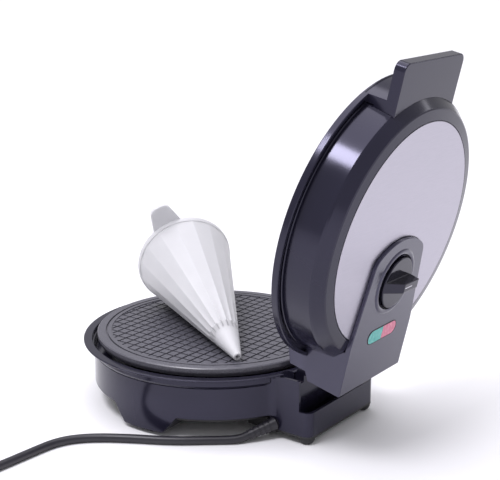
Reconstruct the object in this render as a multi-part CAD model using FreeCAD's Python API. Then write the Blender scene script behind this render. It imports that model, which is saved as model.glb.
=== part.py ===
import FreeCAD, Part
import math
import os

# Waffle cone maker: two round non-stick plates in a hinged clam-shell housing, with its cone roller.
# All sizes are in millimetres.  The design axes have +Z up, the user's side (handle) at -Y, the hinge
# at +Y and +X on the machine's right.  The design origin is under the centre of the plates, level with
# the undersides of the moulded feet.  Lid pieces are built closed and then swung open about the pin.
V = FreeCAD.Vector
X_AXIS, Y_AXIS, Z_AXIS = V(1, 0, 0), V(0, 1, 0), V(0, 0, 1)
ORIGIN = V(0, 0, 0)

# ---- driving sizes: cooking plates ----
plate_r = 95.3                      # radius of both cooking plates
plate_top_z = 52.7                  # cooking face of the lower plate
plate_thick = 7.0
plate_gap = 0.4                     # between the two rims of the plates when closed
plate_edge = 0.8                    # chamfer round the plate
pattern_r = plate_r - 11.3          # radius of the waffle pattern
pattern_drop = 0.6                  # pattern face below the rim of the plate
waffle_pitch = 8.0
waffle_groove = 1.5                 # width of one groove
waffle_depth = 1.3
ring_groove_r = plate_r - 7.4       # juice groove round the pattern
ring_groove_w = 1.5
ring_groove_d = 1.4

# ---- base housing ----
wall = 2.4                          # moulded wall of the housings
base_wall_r = plate_r + 2.9
arch_z = 13.3                       # lower edge of the round wall between its feet
flange_r = plate_r + 11.1
flange_z = plate_top_z - 5.3        # top of the base's rim
flare_z = flange_z - 4.1            # where the wall starts to flare out
flange_lip = 1.4                    # height of the rim's outer edge
well_r = plate_r + 4.2              # inside of the rim, round the plate
shelf_z = plate_top_z - 16.7        # shelf that carries the reflector
well_z = shelf_z + 4.0
shelf_in_r = plate_r - 15.3
shelf_t = 2.5
foot_deep = 24.0                    # radial depth of a moulded foot
foot_half_deg = 10.5                # half angle of a moulded foot at the table
foot_top_deg = 16.5                 # half angle of a moulded foot where it meets the wall
foot_angles = (3.0, 177.0, -90.0)
cover_t = 2.5                       # round bottom cover
cover_gap = 0.3

# ---- hinge line ----
lid_r = plate_r + 12.7
hinge_y = lid_r + 2.3
hinge_z = plate_top_z + 2.9
open_angle = 103.1                  # from closed to the stop

# ---- rear pedestal and hinge tower ----
ped_half = 45.8                     # half width of the pedestal
ped_front_y = hinge_y - 44.3
ped_rear_y = hinge_y + 11.3
ped_corner_r = 6.5
ped_bottom_z = 1.6
tray_t = 1.6                        # bottom tray of the pedestal
corner_y = math.sqrt(base_wall_r ** 2 - ped_half ** 2)   # where the round wall meets the pedestal
tray_side_y = corner_y - 0.865      # the tray has side walls of its own up to here
ped_top_z = 22.0                    # top edge of the rear wall
trough_floor_z = 12.0
cheek_rear_y = hinge_y + 1.7
cheek_top_z = flange_z - 1.9
tower_rear_y = hinge_y - 1.3
ear_deck_z = hinge_z - 14.1         # top of the tower under the hinge ears
web_front_y = hinge_y - 8.8         # front of the web under the knuckle
blend_r = 9.0                       # hollow corner between round wall and pedestal

# ---- rubber feet ----
table_z = -3.6                      # the surface that the rubber feet stand on
rear_foot_r = 6.0
rear_foot_inset = 6.5               # from the pedestal's sides and rear
pad_r = 5.0                         # pads under the moulded feet
pad_ring = base_wall_r - 18.4
stem_r = 2.0
stem_head_r = 2.8

# ---- hinge ----
pin_r = 2.0
bush_r = 3.4
bush_flange_r = 4.6
bush_flange_t = 0.6
bush_len = 9.0
run_gap = 0.05                      # radial clearance of the running pin
knuckle_r = 5.0
knuckle_half = ped_half - 10.8
ear_in = knuckle_half + 1.0         # inner face of the lid's hinge ears
arm_half = ped_half - 3.1           # half width of the hinge arm
pin_depth = 4.5                     # how far the pin goes into each ear
swing_gap = 1.2                     # clearance round parts that sweep past each other

# ---- lid housing (closed) ----
lid_lip_w = 3.2
lid_ring_t = 1.9
lid_lip_h = 5.0
lid_rib_h = 7.0                     # rib that centres the shell on its ring
rib_gap = 1.2
lid_mate = 2.0                      # lid's rim above the lower plate's face
lid_wall_foot_r = lid_r - 5.8
lid_wall_r = lid_r - 6.4
shoulder_r = lid_r - 8.8
shoulder_z = plate_top_z + 26.9
crease_r = lid_r - 15.8
top_z = plate_top_z + 36.4          # face of the stainless disc
crease_z = top_z - 1.5
bevel_r = lid_r - 23.7
disc_r = bevel_r - 0.8
disc_t = 0.8
disc_gap = 0.5                      # reveal round the disc
skin = 2.2                          # lid's top under the disc
clear_z = top_z + 40.0              # above every part, where through cuts end

# ---- hinge arm ----
arm_top_z = top_z + 2.8
arm_rear_y = hinge_y + 7.2
arm_shoulder_y = plate_r - 17.3     # where the arm starts to narrow
knob_y = arm_shoulder_y - 42.0
arm_tip_y = knob_y - 33.2
arm_tip_half = arm_half - 9.5
arm_tip_corner_y = knob_y - 21.5
arm_corner_r = 11.0
arm_bend_r = 45.0
arm_wall = 2.8
arm_edge = 0.6
arm_screw_places = ((30.0, arm_shoulder_y - 6.0), (-30.0, arm_shoulder_y - 6.0),
                    (24.5, knob_y - 18.0), (-24.5, knob_y - 18.0))
ear_low_front = (hinge_y - 11.6, hinge_z - 13.0)
ear_low_rear = (hinge_y + 0.6, hinge_z - 8.7)
ear_notch = (hinge_y + 0.6, hinge_z + 4.9)
rear_low_z = hinge_z + 8.4

# ---- thermostat knob ----
dial_r = 25.4             # outer edge of the raised bezel round the cup
cup_r = 21.4
cup_floor_z = top_z - 1.5
cup_base_t = 1.4          # floor under the knob
cup_wall = 1.6
bezel_h = 1.0             # crown of the bezel above the arm
knob_r = 19.5
knob_rise = 2.5           # knob face above the arm
knob_gap = 0.5            # under the knob
knob_edge = 0.7
grip_half_w = 3.9         # half width of the finger bar at its foot
grip_draft = 0.4          # how much narrower it is at the top, each side
grip_front = 19.0         # pointer end, a ramp down to the knob's face
grip_ramp_top = 5.0
grip_rear = 15.5
grip_h = 8.6              # bar above the knob's face
grip_edge = 0.5
pointer_angle = -1.3      # direction of the pointer end, from +X
pointer_w = 0.9
pointer_d = 0.45
shaft_r = 3.0
thermo_r = 13.0
thermo_h = 10.0

# ---- indicator lamps ----
lens_y = arm_shoulder_y - 0.7
lens_half = 19.6
lens_r = 5.3
lens_gap = 0.35
lens_proud = 0.25
lens_t = 2.0
lamp_r = 2.6
lamp_len = 15.0
lamp_x = 9.5
lamp_drop = 5.6           # lamp axis under the lenses

# ---- handle ----
handle_half = 41.5
handle_out_y = -(lid_r + 18.0)
handle_top_z = top_z - 7.7
handle_t = 8.0
handle_corner_r = 6.0
handle_block_r = lid_r - 0.4
handle_fit = 0.05
handle_screw_x = 25.0
handle_screw_z = plate_top_z + 14.3
handle_screw_len = 9.5

# ---- roller ----
roller_len = 151.0
roller_half_deg = 14.1
roller_tip_r = 3.0
roller_heading = 235.3    # direction from the tip to the wide end
roller_tip_xy = (plate_r - 41.9, plate_r - 33.3)
roller_flutes = 16
flute_deep = 0.8          # depth of a flute at the nose
flute_shallow = 0.3       # depth of a flute at the wide end
roller_wall = 2.0
roller_lift = 0.3
roller_closed = 8.0       # solid start of the hollow cone
sleeve_to = 34.0
sleeve_lap = 6.0          # how far the cone reaches into the smooth nose
nose_bore_r = 1.6
nose_bore_deep = 11.0
cap_t = 7.0
cap_edge = 3.2
tab_deg = 64.0            # where the finger tab stands on the rim
tab_len = 16.0
tab_base_half = 13.0
tab_tip_half = 7.4
tab_corner_r = 6.6
tab_t = 3.2

# ---- heating ----
heater_r = plate_r - 33.3
heater_tube_r = 3.3
heater_sweep_deg = 320.0
heater_leg = 9.0
reflector_r = plate_r - 10.3   # lower pan, on the shelf
reflector_t = 0.8
reflector_rim = 3.0       # depth of a pan
wire_slot_half = 18.0
wire_slot_r = 5.0
wire_slot_y = plate_r - 25.3
boss_r = 4.5
plate_boss_ring = plate_r - 11.3
plate_boss_deg = (30.0, 150.0, 270.0)
upper_back_z = plate_top_z + plate_gap + plate_thick   # back of the upper plate, lid closed
upper_pan_r = plate_boss_ring + boss_r + 1.0
upper_pan_z = upper_back_z + 2 * heater_tube_r + 0.05  # inner face of the upper pan
boss_rib_half = 2.5

# ---- fasteners ----
screw_r = 1.5
screw_head_r = 3.0
screw_head_h = 2.0
post_r = 4.0
base_post_ring = plate_r - 11.3
base_post_deg = (45.0, 135.0, 225.0, 315.0)

# ---- mains lead ----
cord_d = 6.4
cord_exit = (ped_half, hinge_y - 19.3, 7.9)
relief_dir = V(1.0, -0.62, -0.33)
relief_len = 22.0
relief_root_r = 5.0
relief_end_r = 3.7
stub_r = 3.7              # neck of the relief through the wall
cord_z = table_z + cord_d / 2
cord_steps = ((25.3, -15.7), (36.7, -30.0), (55.7, -53.5), (72.7, -85.0), (88.2, -107.5), (106.2, -120.5),
              (133.2, -122.5), (159.2, -124.0), (177.2, -126.5), (195.2, -128.3))   # from the outlet
cord_run = [(cord_exit[0] + dx, cord_exit[1] + dy) for dx, dy in cord_steps]
coil_centre = (cord_exit[0] + 195.2, cord_exit[1] - 166.5)
coil_outer_r = 38.2       # outer turn on the table
coil_inner_r = 31.8       # inner turn on the table
coil_rise = 5.5           # the top turn lies in the valley between them
tail_steps = ((17.5, -30.3, 5.1), (2.0, -39.1, 4.8), (-15.0, -43.8, 4.2), (-32.0, -45.3, 3.9))
cord_tail = [(coil_centre[0] + dx, coil_centre[1] + dy, z) for dx, dy, z in tail_steps]
tie_w = 9.0
tie_t = 0.8
tie_deg = 215.0
plug_len = 36.0
plug_w = 24.0
plug_h = 15.0
blade_len = 18.0
blade_w = 6.3
blade_t = 1.5
blade_gap = 12.7

# ---- electrical parts in the base ----
terminal_half = 16.0
terminal_y = hinge_y - 26.3
terminal_deep = 11.0
terminal_top_z = 18.0
terminal_pitch = 11.0
terminal_screw_r = 2.0
clamp_x = (22.0, 36.0)
clamp_half = 7.0
inner_cord_gap = 1.0      # from the inner end of the lead to the wall of the pedestal
fuse_r = 2.2
fuse_len = 16.0
fuse_lead_r = 0.5
fuse_lead_len = 34.0
fuse_y = heater_r - 10.0
fuse_drop = 2.2           # fuse axis under the shelf's face

nodes = {}


# ---- helpers ----
def box(x0, x1, y0, y1, z0, z1):
    return Part.makeBox(x1 - x0, y1 - y0, z1 - z0, V(x0, y0, z0))


def cyl(radius, z0, z1, x=0.0, y=0.0):
    return Part.makeCylinder(radius, z1 - z0, V(x, y, z0))


def polar(radius, degrees):
    a = math.radians(degrees)
    return radius * math.cos(a), radius * math.sin(a)


def turned(profile):
    """Solid of revolution about the plates' axis from (radius, z) points."""
    points = [V(r, 0, z) for r, z in profile]
    return Part.Face(Part.makePolygon(points + points[:1])).revolve(ORIGIN, Z_AXIS, 360)


def side_prism(profile, x0, x1):
    """Prism along X from (y, z) points."""
    points = [V(x0, y, z) for y, z in profile]
    return Part.Face(Part.makePolygon(points + points[:1])).extrude(V(x1 - x0, 0, 0))


def join(shapes):
    first, rest = shapes[0], list(shapes[1:])
    return first.fuse(rest).removeSplitter() if rest else first


def one_solid(shape):
    """The single solid of a boolean result."""
    solids = sorted(shape.Solids, key=lambda s: s.Volume)
    return solids[-1]


def edges_where(shape, test):
    return [e for e in shape.Edges if test(e)]


def upright(edge):
    a, b = edge.Vertexes[0].Point, edge.Vertexes[-1].Point
    return abs(a.x - b.x) < 1e-4 and abs(a.y - b.y) < 1e-4 and abs(a.z - b.z) > 1e-3


def swing_open(shape):
    """Lid piece from its closed place to the open rest place."""
    out = shape.copy()
    out.rotate(V(0, hinge_y, hinge_z), X_AXIS, -open_angle)
    return out


def stadium(half, radius, z0, z1, y):
    """Bar with round ends along X."""
    straight = half - radius
    body = box(-straight, straight, y - radius, y + radius, z0, z1)
    return join([body, cyl(radius, z0, z1, -straight, y), cyl(radius, z0, z1, straight, y)])


def screw(x, y, z_seat, z_tip, radius=screw_r):
    """Pan-head screw on a vertical axis: its head sits on z_seat and its tip is at z_tip."""
    up = 1.0 if z_tip > z_seat else -1.0
    head = Part.makeCylinder(screw_head_r, screw_head_h, V(x, y, z_seat), V(0, 0, -up))
    shank = Part.makeCylinder(radius, abs(z_tip - z_seat), V(x, y, z_seat), V(0, 0, up))
    slot_z = z_seat - up * screw_head_h
    slot = box(x - screw_head_r, x + screw_head_r, y - 0.4, y + 0.4, slot_z - 0.8, slot_z + 0.8)
    return head.fuse(shank).removeSplitter().cut(slot)


# ---- cooking plates ----
def cooking_plate():
    """Lower plate: face at plate_top_z, waffle grid sunk in a round field."""
    top, bottom = plate_top_z, plate_top_z - plate_thick
    body = turned([(0, bottom), (plate_r - 1.5, bottom), (plate_r, bottom + 3.2),
                   (plate_r, top - plate_edge), (plate_r - plate_edge, top), (0, top)])
    half_w = ring_groove_w / 2
    juice_in, juice_out = ring_groove_r - half_w, ring_groove_r + half_w
    juice = turned([(juice_in, top - ring_groove_d), (juice_out, top - ring_groove_d),
                    (juice_out, top + 1), (juice_in, top + 1)])
    field = cyl(pattern_r, top - pattern_drop, top + 1)
    grooves = []
    count = int(pattern_r // waffle_pitch)
    depth_z = top - pattern_drop - waffle_depth
    for i in range(-count, count + 1):
        at = i * waffle_pitch
        reach = math.sqrt(pattern_r ** 2 - (abs(at) + waffle_groove / 2) ** 2)
        w = waffle_groove / 2
        grooves.append(box(at - w, at + w, -reach, reach, depth_z, top + 1))
        grooves.append(box(-reach, reach, at - w, at + w, depth_z, top + 1))
    body = body.cut(juice).cut(field).cut(grooves)
    tapped = [cyl(screw_r, bottom - 1, bottom + 3.5, *polar(plate_boss_ring, a)) for a in plate_boss_deg]
    return one_solid(body.cut(tapped))


def heater(z_contact):
    """Sheathed tubular element under a plate, open at the rear, with two terminal legs."""
    z = z_contact - heater_tube_r
    start = 90 + (360 - heater_sweep_deg) / 2
    ring = Part.makeTorus(heater_r, heater_tube_r, V(0, 0, z), Z_AXIS, 0, 360, heater_sweep_deg)
    ring.rotate(ORIGIN, Z_AXIS, start)
    legs = []
    for side in (start, start + heater_sweep_deg):
        x, y = polar(heater_r, side)
        legs.append(Part.makeSphere(heater_tube_r, V(x, y, z)))
        legs.append(Part.makeCylinder(heater_tube_r, heater_leg, V(x, y, z), Y_AXIS))
    return join([ring] + legs)


def reflector(z, radius, hole_r):
    """Aluminium pan that throws the heat back at the plate, with holes for bosses or screws."""
    inner = radius - reflector_t
    pan = turned([(0, z), (radius, z), (radius, z + reflector_rim), (inner, z + reflector_rim),
                  (inner, z + reflector_t), (0, z + reflector_t)])
    wires = stadium(wire_slot_half, wire_slot_r, z - 1, z + reflector_rim + 1, wire_slot_y)
    holes = [cyl(hole_r, z - 1, z + reflector_rim + 1, *polar(plate_boss_ring, a)) for a in plate_boss_deg]
    return pan.cut([wires] + holes)


# ---- base ----
def pedestal_prism(half, y0, y1, z0, z1, corner):
    """Pedestal block with rounded rear corners."""
    body = box(-half, half, y0, y1, z0, z1)
    rear = edges_where(body, lambda e: upright(e) and e.Vertexes[0].Point.y > y1 - 0.1)
    return body.makeFillet(corner, rear)


def foot_wedge(angle, r_in, r_out, grow=0.0, floor=0.0):
    """Trapezoid foot between two radii, wider at the wall than on the table."""
    low = base_wall_r * math.tan(math.radians(foot_half_deg))
    high = base_wall_r * math.tan(math.radians(foot_top_deg))
    at_floor = low + (high - low) * floor / arch_z + grow
    top, over = high + grow, arch_z + 1.0
    outline = [V(0, -at_floor, floor), V(0, at_floor, floor), V(0, top, arch_z), V(0, top, over),
               V(0, -top, over), V(0, -top, arch_z)]
    wedge = Part.Face(Part.makePolygon(outline + outline[:1])).extrude(V(r_out + 10, 0, 0))
    tips = edges_where(wedge, lambda e: max(v.Point.z for v in e.Vertexes) < floor + 0.1 and e.Length > r_out)
    wedge = wedge.makeFillet(3.0, tips)
    wedge.rotate(ORIGIN, Z_AXIS, angle)
    ring = cyl(r_out, floor, over).cut(cyl(r_in, floor - 1, over + 1))
    return wedge.common(ring)


def moulded_foot(angle):
    """Hollow foot, open to the inside of the base, with a hole for its rubber pad."""
    r_in = base_wall_r - foot_deep
    block = foot_wedge(angle, r_in, base_wall_r)
    hollow = foot_wedge(angle, r_in + wall, base_wall_r - wall, -wall * 1.3, wall)
    return block.cut([hollow, cyl(stem_r, -1, wall + 1, *polar(pad_ring, angle))])


def base_shell():
    inner_r = base_wall_r - wall
    lip_z = flange_z - flange_lip
    rim = turned([(base_wall_r, arch_z), (base_wall_r, flare_z), (flange_r - 0.3, lip_z),
                  (flange_r, lip_z + 0.4), (flange_r, flange_z - 0.4), (flange_r - 0.5, flange_z),
                  (well_r + 0.4, flange_z), (well_r, flange_z - 0.4), (well_r, well_z),
                  (base_wall_r - 1.2, shelf_z), (shelf_in_r, shelf_z), (shelf_in_r, shelf_z - shelf_t),
                  (inner_r, shelf_z - shelf_t), (inner_r, arch_z)])
    cheeks = box(-ped_half, ped_half, ped_front_y, cheek_rear_y, arch_z, cheek_top_z)
    tray_top = ped_bottom_z + tray_t
    foot_wall = pedestal_prism(ped_half, tray_side_y, ped_rear_y, tray_top, ped_top_z, ped_corner_r)
    core = cyl(base_wall_r, arch_z, flare_z)
    outside = join([core, cheeks, foot_wall])
    hollow_corner = [e for e in outside.Edges if upright(e) and e.Length > 8
                     and abs(abs(e.Vertexes[0].Point.x) - ped_half) < 0.01
                     and abs(e.Vertexes[0].Point.y - corner_y) < 0.1]
    outside = outside.makeFillet(blend_r, hollow_corner)
    shell = join([outside.cut(cyl(inner_r, 0, flange_z + 10)), rim])
    # open space above the rear trough and for the hinge ears
    ear_out = ped_half - wall + 0.1
    bay = box(-ear_out, ear_out, tower_rear_y, ped_rear_y + 5, ped_top_z + 0.01, clear_z)
    trough = pedestal_prism(ear_out, tower_rear_y, ped_rear_y - wall, trough_floor_z, ped_top_z + 5,
                            ped_corner_r - wall)
    behind = box(-ped_half - 1, ped_half + 1, cheek_rear_y, ped_rear_y + 5, ped_top_z, clear_z)
    deck = box(-ear_out, ear_out, base_wall_r - 8, tower_rear_y + 5, ear_deck_z, clear_z)
    deck = deck.cut(cyl(flange_r, 0, clear_z))
    # room for the electrical parts
    in_half = ped_half - wall
    room = box(-in_half, in_half, ped_front_y - 5, tower_rear_y - wall, 0, ear_deck_z - wall)
    under_shelf = shelf_z - shelf_t
    room = room.cut(turned([(inner_r, under_shelf), (well_r, under_shelf), (well_r + wall, flange_z),
                            (inner_r, flange_z)]))
    low_room = pedestal_prism(in_half, ped_front_y, ped_rear_y - wall, 0, trough_floor_z - wall,
                              ped_corner_r - wall)
    shell = shell.cut([bay, trough, behind, deck, room, low_room])
    # sweep of the ears
    sweep_r = math.hypot(hinge_y - ear_low_front[0], hinge_z - ear_low_front[1]) + swing_gap
    slot_in = ear_in - swing_gap * 0.6
    for x0 in (slot_in, -ear_out):
        sweep = Part.makeCylinder(sweep_r, ear_out - slot_in, V(x0, hinge_y, hinge_z), X_AXIS)
        over_deck = box(-ped_half, ped_half, ear_low_front[0] - 20, hinge_y + 1, ear_deck_z, clear_z)
        shell = shell.cut(sweep.common(over_deck))
    # hinge knuckle with its web and the stop rib of the open lid
    web = side_prism([(web_front_y, ear_deck_z - 2), (tower_rear_y, ear_deck_z - 2),
                      (tower_rear_y, hinge_z - 9.1), (hinge_y + 6.1, hinge_z - 9.1),
                      (hinge_y + 6.1, hinge_z - 6.6), (hinge_y + 1, hinge_z - 4),
                      (hinge_y - 3, hinge_z - 2.2), (hinge_y - 6, hinge_z - 3.2),
                      (web_front_y, flange_z - 1)], -knuckle_half, knuckle_half)
    barrel = Part.makeCylinder(knuckle_r, 2 * knuckle_half, V(-knuckle_half, hinge_y, hinge_z), X_AXIS)
    bore = Part.makeCylinder(pin_r + 0.5, 4 * ped_half, V(-2 * ped_half, hinge_y, hinge_z), X_AXIS)
    seats = [Part.makeCylinder(bush_r, bush_len, V(x, hinge_y, hinge_z), X_AXIS)
             for x in (knuckle_half - bush_len, -knuckle_half)]
    shell = join([shell, join([web, barrel]).cut([bore] + seats)])
    # moulded feet, plate bosses and cover posts
    feet = [moulded_foot(a) for a in foot_angles]
    bosses = [cyl(boss_r, shelf_z - 1, plate_top_z - plate_thick, *polar(plate_boss_ring, a))
              for a in plate_boss_deg]
    posts = [cyl(post_r, arch_z, shelf_z - 1, *polar(base_post_ring, a)) for a in base_post_deg]
    shell = join([shell] + feet + bosses + posts)
    holes = [cyl(screw_r, arch_z - 5, arch_z + 14, *polar(base_post_ring, a)) for a in base_post_deg]
    holes += [cyl(screw_r + 0.2, shelf_z - 10, plate_top_z, *polar(plate_boss_ring, a))
              for a in plate_boss_deg]
    holes.append(Part.makeCylinder(stub_r, 12, V(cord_exit[0] - 8, cord_exit[1], cord_exit[2]), X_AXIS))
    return one_solid(shell.cut(holes))


def base_cover():
    """Round bottom cover with the lower tray of the pedestal."""
    top = arch_z
    bottom = top - cover_t
    disc = cyl(base_wall_r - wall - cover_gap, bottom, top)
    feet = [foot_wedge(a, base_wall_r - foot_deep - cover_gap, base_wall_r + 1, cover_gap)
            for a in foot_angles]
    tray_top = ped_bottom_z + tray_t
    plate = pedestal_prism(ped_half, ped_front_y, ped_rear_y, ped_bottom_z, tray_top, ped_corner_r)
    front = box(-ped_half, ped_half, ped_front_y, ped_front_y + wall, tray_top - 1, top)
    sides = []
    for x0 in (-ped_half, ped_half - wall):
        sides.append(box(x0, x0 + wall, ped_front_y, tray_side_y - cover_gap, tray_top - 1, top))
    well = box(-ped_half + wall, ped_half - wall, ped_front_y + wall, hinge_y, bottom - 1, top + 1)
    body = join([disc.cut(well), plate, front] + sides)
    body = body.cut(feet)
    outside_wall = cyl(2 * base_wall_r, bottom - 1, top + 5)
    outside_wall = outside_wall.cut(cyl(base_wall_r - wall - cover_gap, bottom - 2, top + 6))
    holes = [cyl(screw_r + 0.2, 0, top + 1, *polar(base_post_ring, a)) for a in base_post_deg]
    foot_holes = [cyl(stem_r, 0, tray_top + 1, x, y) for x, y in rear_foot_places()]
    return one_solid(body.cut([outside_wall] + holes + foot_holes))


def rear_foot_places():
    return [(side * (ped_half - rear_foot_inset), ped_rear_y - rear_foot_inset) for side in (1, -1)]


def rubber_foot(x, y, radius, seat_z, floor_t):
    """Rounded rubber foot with a flat sole; its stem is pressed through the floor above it."""
    flat_r, bulge_r = radius * 0.62, radius * 0.93
    mid_z = table_z + (seat_z - table_z) * 0.42
    dome = Part.Face(Part.Wire([
        Part.LineSegment(V(0, 0, table_z), V(flat_r, 0, table_z)).toShape(),
        Part.Arc(V(flat_r, 0, table_z), V(bulge_r, 0, mid_z), V(radius, 0, seat_z)).toShape(),
        Part.LineSegment(V(radius, 0, seat_z), V(0, 0, seat_z)).toShape(),
        Part.LineSegment(V(0, 0, seat_z), V(0, 0, table_z)).toShape()])).revolve(ORIGIN, Z_AXIS, 360)
    stem = cyl(stem_r, seat_z - 0.5, seat_z + floor_t + 1.0)
    head = cyl(stem_head_r, seat_z + floor_t, seat_z + floor_t + 1.2)
    foot = join([dome, stem, head])
    foot.translate(V(x, y, 0))
    return foot


# ---- lid ----
def lid_ring():
    """Lower frame of the lid: flat seat, outer lip and the rib that locates the shell."""
    z0 = plate_top_z + lid_mate
    lip_in = lid_r - lid_lip_w
    lip_top, seat_z, rib_r = z0 + lid_lip_h, z0 + lid_ring_t, lid_wall_r - wall - rib_gap
    ring = turned([(plate_r + 1.3, z0), (lid_r - 0.5, z0), (lid_r, z0 + 0.5), (lid_r - 0.2, lip_top - 0.5),
                   (lid_r - 0.7, lip_top), (lip_in + 0.3, lip_top), (lip_in, lip_top - 0.4),
                   (lip_in, seat_z), (rib_r, seat_z), (rib_r, z0 + lid_rib_h),
                   (plate_r + 1.3, z0 + lid_rib_h)])
    block_half, arm_slot_half, near = handle_half + 0.2, arm_half + 0.2, lid_wall_foot_r * 0.8
    for_block = box(-block_half, block_half, -lid_r - 1, -near, seat_z, clear_z)
    for_arm = box(-arm_slot_half, arm_slot_half, near, lid_r + 1, seat_z, clear_z)
    lip_zone = cyl(lid_r + 1, 0, clear_z).cut(cyl(lid_wall_foot_r, -1, clear_z + 1))
    knuckle_room = Part.makeCylinder(knuckle_r + swing_gap, 2 * ear_in, V(-ear_in, hinge_y, hinge_z), X_AXIS)
    return one_solid(ring.cut([for_block.common(lip_zone), for_arm.common(lip_zone), knuckle_room]))


def lid_outline():
    """Outer profile of the closed lid's shell as (radius, z) points."""
    z0 = plate_top_z + lid_mate + lid_ring_t
    return [(lid_wall_foot_r, z0), (lid_wall_foot_r, z0 + 2.2), (lid_wall_r, z0 + 2.6),
            (shoulder_r, shoulder_z), (shoulder_r - 0.9, shoulder_z + 1.5), (crease_r + 0.6, crease_z - 0.3),
            (crease_r - 0.6, crease_z + 0.2), (bevel_r, top_z - 0.2)]


def lid_envelope(grow=0.0):
    """Solid that other pieces are cut back to, so that they seat on the outside of the lid."""
    z0 = plate_top_z + lid_mate
    steps = [(0, z0 - 0.01), (lid_r + 0.1, z0 - 0.01), (lid_r + 0.1, z0 + lid_ring_t)]
    steps += [(r + grow, z) for r, z in lid_outline()]
    return turned(steps + [(0, top_z - 0.2)])


def lid_shell():
    outline = lid_outline()
    seat = top_z - disc_t
    z0 = outline[0][1]
    inside = [(bevel_r - 0.3, seat), (0, seat), (0, seat - skin), (crease_r - 3.2, seat - skin),
              (shoulder_r - wall - 1.2, shoulder_z - 0.5), (lid_wall_r - wall, z0 + 2.6),
              (lid_wall_r - wall, z0)]
    shell = turned(outline + inside)
    # bosses for the upper plate, each on a rib that reaches in from the wall under the pan's rim
    posts = []
    rib_low, rib_high = plate_top_z + lid_mate + lid_rib_h + 0.4, upper_pan_z - reflector_rim + 0.5
    for a in plate_boss_deg:
        posts.append(cyl(boss_r, upper_back_z, upper_pan_z, *polar(plate_boss_ring, a)))
        rib = box(plate_boss_ring, lid_wall_r - wall - 0.2, -boss_rib_half, boss_rib_half, rib_low, rib_high)
        rib.rotate(ORIGIN, Z_AXIS, a)
        posts.append(rib)
    shell = join([shell] + posts)
    cup = cyl(cup_r + cup_wall + 0.2, seat - skin - 1, seat + 1, 0, knob_y)
    window = stadium(lens_half + 1.5, lens_r + 1.5, seat - skin - 1, seat + 1, lens_y)
    wires = box(-20, 20, shoulder_r - 8, lid_wall_r + 5, handle_screw_z - 1, shoulder_z + 0.4)
    holes = [cyl(screw_r + 0.1, seat - skin - 3, seat + 2, x, y) for x, y in arm_screw_places]
    screw_from_y = -(lid_wall_r - 16.6)
    holes += [Part.makeCylinder(screw_r + 0.1, 30, V(sx * handle_screw_x, screw_from_y, handle_screw_z),
                                V(0, -1, 0)) for sx in (-1, 1)]
    tapped = [cyl(screw_r, plate_top_z, plate_top_z + 20, *polar(plate_boss_ring, a)) for a in plate_boss_deg]
    return one_solid(shell.cut([cup, window, wires] + holes + tapped))


def arm_plan(z0, z1, grow=0.0):
    """Plan of the arm: parallel at the hinge, narrowing to a broad round tip."""
    half, tip = arm_half + grow, arm_tip_half + grow
    rear = arm_rear_y + grow
    points = [V(-half, rear, z0), V(half, rear, z0), V(half, arm_shoulder_y, z0),
              V(tip, arm_tip_corner_y - grow, z0)]
    left = [V(-tip, arm_tip_corner_y - grow, z0), V(-half, arm_shoulder_y, z0), V(-half, rear, z0)]
    edges = [Part.LineSegment(points[i], points[i + 1]).toShape() for i in range(3)]
    edges.append(Part.Arc(points[3], V(0, arm_tip_y - grow, z0), left[0]).toShape())
    edges += [Part.LineSegment(left[i], left[i + 1]).toShape() for i in range(2)]
    body = Part.Face(Part.Wire(edges)).extrude(V(0, 0, z1 - z0))
    near_tip = edges_where(body, lambda e: upright(e) and e.Vertexes[0].Point.y < arm_shoulder_y - 5)
    body = body.makeFillet(arm_corner_r, near_tip)
    bends = edges_where(body, lambda e: upright(e) and abs(e.Vertexes[0].Point.y - arm_shoulder_y) < 0.5)
    return body.makeFillet(arm_bend_r, bends)


def hinge_arm():
    """Control housing: flat tongue over the disc, hinge block behind and two hinge ears."""
    slab = arm_plan(top_z - disc_t, arm_top_z)
    rim = edges_where(slab, lambda e: min(v.Point.z for v in e.Vertexes) > arm_top_z - 0.01)
    slab = slab.makeFillet(arm_edge, rim)
    y_front = arm_shoulder_y + 4.5
    z_mate = plate_top_z + lid_mate
    block = side_prism([ear_low_front, ear_low_rear, ear_notch, (arm_rear_y, rear_low_z),
                        (arm_rear_y, arm_top_z - 1), (y_front, arm_top_z - 1), (y_front, z_mate),
                        (ear_low_front[0], z_mate)], -arm_half, arm_half)
    bay = box(-ear_in, ear_in, y_front - 1, arm_rear_y - arm_wall, 0, arm_top_z - 3.2)
    low_bay = box(-ear_in, ear_in, y_front - 1, arm_rear_y + 5, 0, rear_low_z)
    clear_base = cyl(flange_r + swing_gap, 0, z_mate - 0.01)
    block = block.cut([bay, low_bay, clear_base])
    outer_lip = cyl(lid_r + 0.1, z_mate - 0.02, z_mate + lid_ring_t)
    under = lid_envelope(handle_fit).cut(cyl(bevel_r - 0.4, top_z - disc_t, clear_z))
    body = join([slab, block]).cut([under, outer_lip])
    cup = cyl(cup_r + cup_wall, cup_floor_z - cup_base_t, arm_top_z - 0.5, 0, knob_y)
    body = join([body, cup, bezel()])
    below = top_z - 10
    body = body.cut([cyl(cup_r, cup_floor_z, arm_top_z + 3, 0, knob_y),
                     cyl(shaft_r + 0.4, below, clear_z, 0, knob_y),
                     stadium(lens_half + lens_gap, lens_r + lens_gap, below, clear_z, lens_y)])
    screw_holes = [cyl(screw_r, below, arm_top_z - 1.2, x, y) for x, y in arm_screw_places]
    return one_solid(body.cut([hinge_pin()] + screw_holes))


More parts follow.
